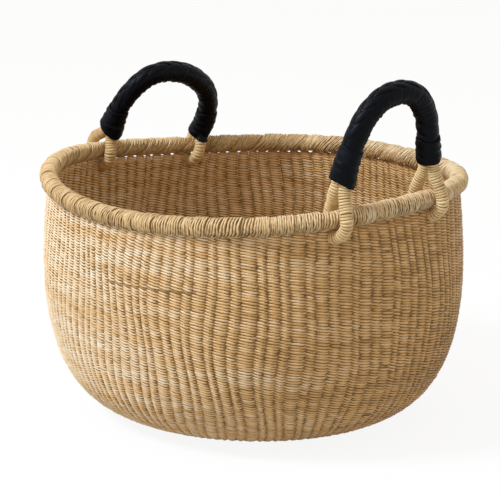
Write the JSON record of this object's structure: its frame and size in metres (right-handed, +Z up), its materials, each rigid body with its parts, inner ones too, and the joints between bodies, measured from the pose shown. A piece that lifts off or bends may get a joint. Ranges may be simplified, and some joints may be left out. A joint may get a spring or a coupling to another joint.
{
  "type": "bolga basket",
  "caption": "Large oval basket of woven straw with a bound rim and two arched, leather-covered handles that swing on the rim.",
  "frame": {"origin": "centre of the flat underside of the base", "axes": "+Z up, +X towards the right handle, +Y towards the back; the rim's long axis runs along X"},
  "size_m": [0.5292, 0.467, 0.4236],
  "materials": {
    "woven_straw": "matte",
    "binding_straw": "matte",
    "wrap_straw": "satin",
    "core_straw": "matte",
    "leather": "satin"
  },
  "bodies": {
    "basket": {"base_weave": "woven_straw", "wall_weave": "woven_straw", "rim_core": "core_straw", "rim_binding": "binding_straw"},
    "left_handle": {"left_handle_rope": "core_straw", "left_handle_front_wrap": "wrap_straw", "left_handle_back_wrap": "wrap_straw", "left_handle_upper_packing": "core_straw", "left_handle_lower_packing": "core_straw", "left_handle_sleeve": "leather", "left_handle_front_cuff": "leather", "left_handle_back_cuff": "leather", "left_handle_lacing": "leather"},
    "right_handle": {"right_handle_rope": "core_straw", "right_handle_front_wrap": "wrap_straw", "right_handle_back_wrap": "wrap_straw", "right_handle_upper_packing": "core_straw", "right_handle_lower_packing": "core_straw", "right_handle_sleeve": "leather", "right_handle_front_cuff": "leather", "right_handle_back_cuff": "leather", "right_handle_lacing": "leather"}
  },
  "joints": [
    {"name": "left_handle_swing", "type": "hinge", "parent": "basket", "child": "left_handle", "pos_m": [-0.23319, 0.0087, 0.27385], "axis": [-0.0317, -0.9978, 0.0586], "range_deg": [-47, 103]},
    {"name": "right_handle_swing", "type": "hinge", "parent": "basket", "child": "right_handle", "pos_m": [0.2323, 0.0076, 0.2782], "axis": [-0.0282, 0.9985, 0.0458], "range_deg": [-85, 65]}
  ]
}
